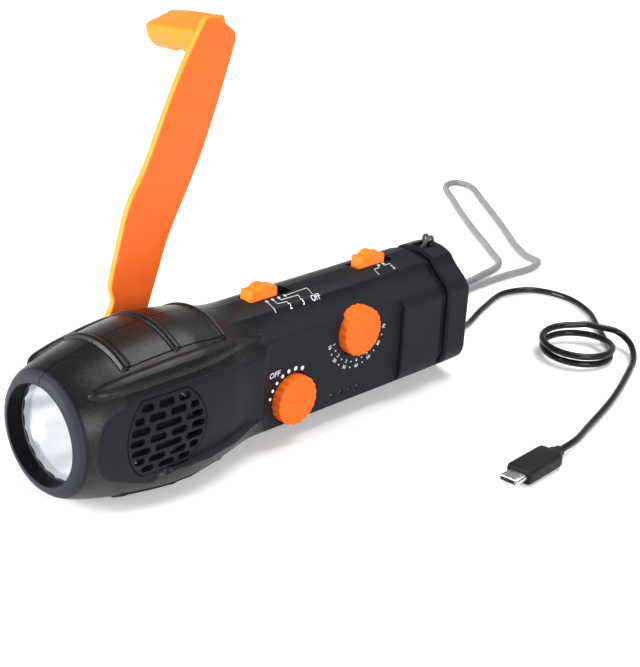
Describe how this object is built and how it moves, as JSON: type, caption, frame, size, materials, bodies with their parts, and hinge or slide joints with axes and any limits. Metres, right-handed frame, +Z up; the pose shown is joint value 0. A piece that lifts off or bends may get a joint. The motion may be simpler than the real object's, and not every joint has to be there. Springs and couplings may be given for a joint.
{
  "type": "hand crank flashlight radio",
  "caption": "Hand crank flashlight with radio: barrel head, folding-style side crank with turning handle, two knobs, two slide switches, speaker, charging lead and wrist strap.",
  "frame": {"origin": "under the middle of the crank's pivot, on the flat of the belly that the flashlight rests on, in the middle plane of the housing", "axes": "+X from the lens to the tail, +Y to the crank's side, +Z up"},
  "size_m": [0.4009, 0.2526, 0.1525],
  "materials": {
    "housing": "dark blue-grey moulded plastic with a fine satin grain",
    "orange_plastic": "orange moulded plastic, satin",
    "handle_plastic": "lighter orange moulded plastic, satin",
    "clear_plastic": "clear moulded acrylic, polished",
    "mirror_coat": "vacuum metallised reflector bowl",
    "black_rubber": "soft black rubber, satin",
    "white_board": "white lacquered metal-core board",
    "emitter": "yellow phosphor dome",
    "speaker_paper": "black pressed paper",
    "plated_steel": "zinc plated steel",
    "green_board": "green lacquered glass-fibre board",
    "switch_metal": "tinned switch and control cases",
    "battery_wrap": "shrink-wrapped round cell, no print",
    "ferrite": "dark sintered ferrite",
    "copper_wire": "enamelled copper winding",
    "gear_nylon": "natural white nylon",
    "lead_jacket": "glossy black cable jacket",
    "strap_cord_black": "thin black braided cord",
    "slider_grey": "grey moulded strap slider, bevelled",
    "grey_braid": "light grey woven braid"
  },
  "bodies": {
    "body": {"near_shell": "housing", "far_shell": "housing", "speaker_grille": "housing", "lens": "clear_plastic", "lens_seal": "black_rubber", "reflector": "mirror_coat", "led_board": "white_board", "led_emitter": "emitter", "speaker_frame": "plated_steel", "speaker_cone": "speaker_paper", "speaker_magnet": "plated_steel", "main_board": "green_board", "volume_pot": "switch_metal", "tuning_capacitor": "switch_metal", "indicator_light_pipe": "clear_plastic", "battery": "battery_wrap", "ferrite_rod": "ferrite", "aerial_coil": "copper_wire", "idler_axle": "plated_steel", "generator_can": "plated_steel", "gear_plate": "plated_steel", "mode_switch": "switch_metal", "band_switch": "switch_metal", "housing_screw_1": "plated_steel", "housing_screw_2": "plated_steel", "housing_screw_3": "plated_steel", "housing_screw_4": "plated_steel", "tail_block": "housing", "cable_gland": "black_rubber", "lead_coil": "lead_jacket", "lead_run_out": "lead_jacket", "lead_run_on": "lead_jacket", "plug_relief": "black_rubber", "plug_body": "lead_jacket", "plug_tip": "plated_steel", "strap_cord": "strap_cord_black", "strap_slider": "slider_grey", "wrist_loop": "grey_braid"},
    "crank": {"crank_shaft": "plated_steel", "crank_gear": "gear_nylon", "crank_arm": "orange_plastic", "hub_screw": "plated_steel", "handle_pin": "plated_steel"},
    "handle": {"handle": "handle_plastic"},
    "idler": {"idler_gear": "gear_nylon"},
    "rotor": {"generator_rotor": "plated_steel"},
    "volume_knob": {"volume_knob": "orange_plastic"},
    "tuning_knob": {"tuning_knob": "orange_plastic"},
    "mode_slider": {"mode_slider": "orange_plastic"},
    "band_slider": {"band_slider": "orange_plastic"}
  },
  "joints": [
    {"name": "crank_turn", "type": "hinge", "parent": "body", "child": "crank", "pos_m": [0, 0.029, 0.027], "axis": [0, 1, 0], "continuous": true},
    {"name": "handle_spin", "type": "hinge", "parent": "crank", "child": "handle", "pos_m": [0.044, 0.045, 0.1428], "axis": [0, 1, 0], "continuous": true},
    {"name": "idler_spin", "type": "hinge", "parent": "body", "child": "idler", "pos_m": [0.02, 0.016, 0.027], "axis": [0, 1, 0], "continuous": true},
    {"name": "rotor_spin", "type": "hinge", "parent": "body", "child": "rotor", "pos_m": [0.00798, 0.005, 0.01498], "axis": [0, 1, 0], "continuous": true},
    {"name": "volume_turn", "type": "hinge", "parent": "body", "child": "volume_knob", "pos_m": [0.0449, -0.018, 0.0176], "axis": [0, 1, 0], "range_deg": [0, 280]},
    {"name": "tuning_turn", "type": "hinge", "parent": "body", "child": "tuning_knob", "pos_m": [0.0786, -0.018, 0.0366], "axis": [0, 1, 0], "range_deg": [-90, 90]},
    {"name": "mode_slide", "type": "slide", "parent": "body", "child": "mode_slider", "axis": [1, 0, 0], "range_m": [0, 0.006]},
    {"name": "band_slide", "type": "slide", "parent": "body", "child": "band_slider", "axis": [1, 0, 0], "range_m": [0, 0.0025]}
  ],
  "couplings": [
    {"joint": "idler_spin", "follows": "crank_turn", "ratio": -3},
    {"joint": "rotor_spin", "follows": "crank_turn", "ratio": 9.75}
  ]
}
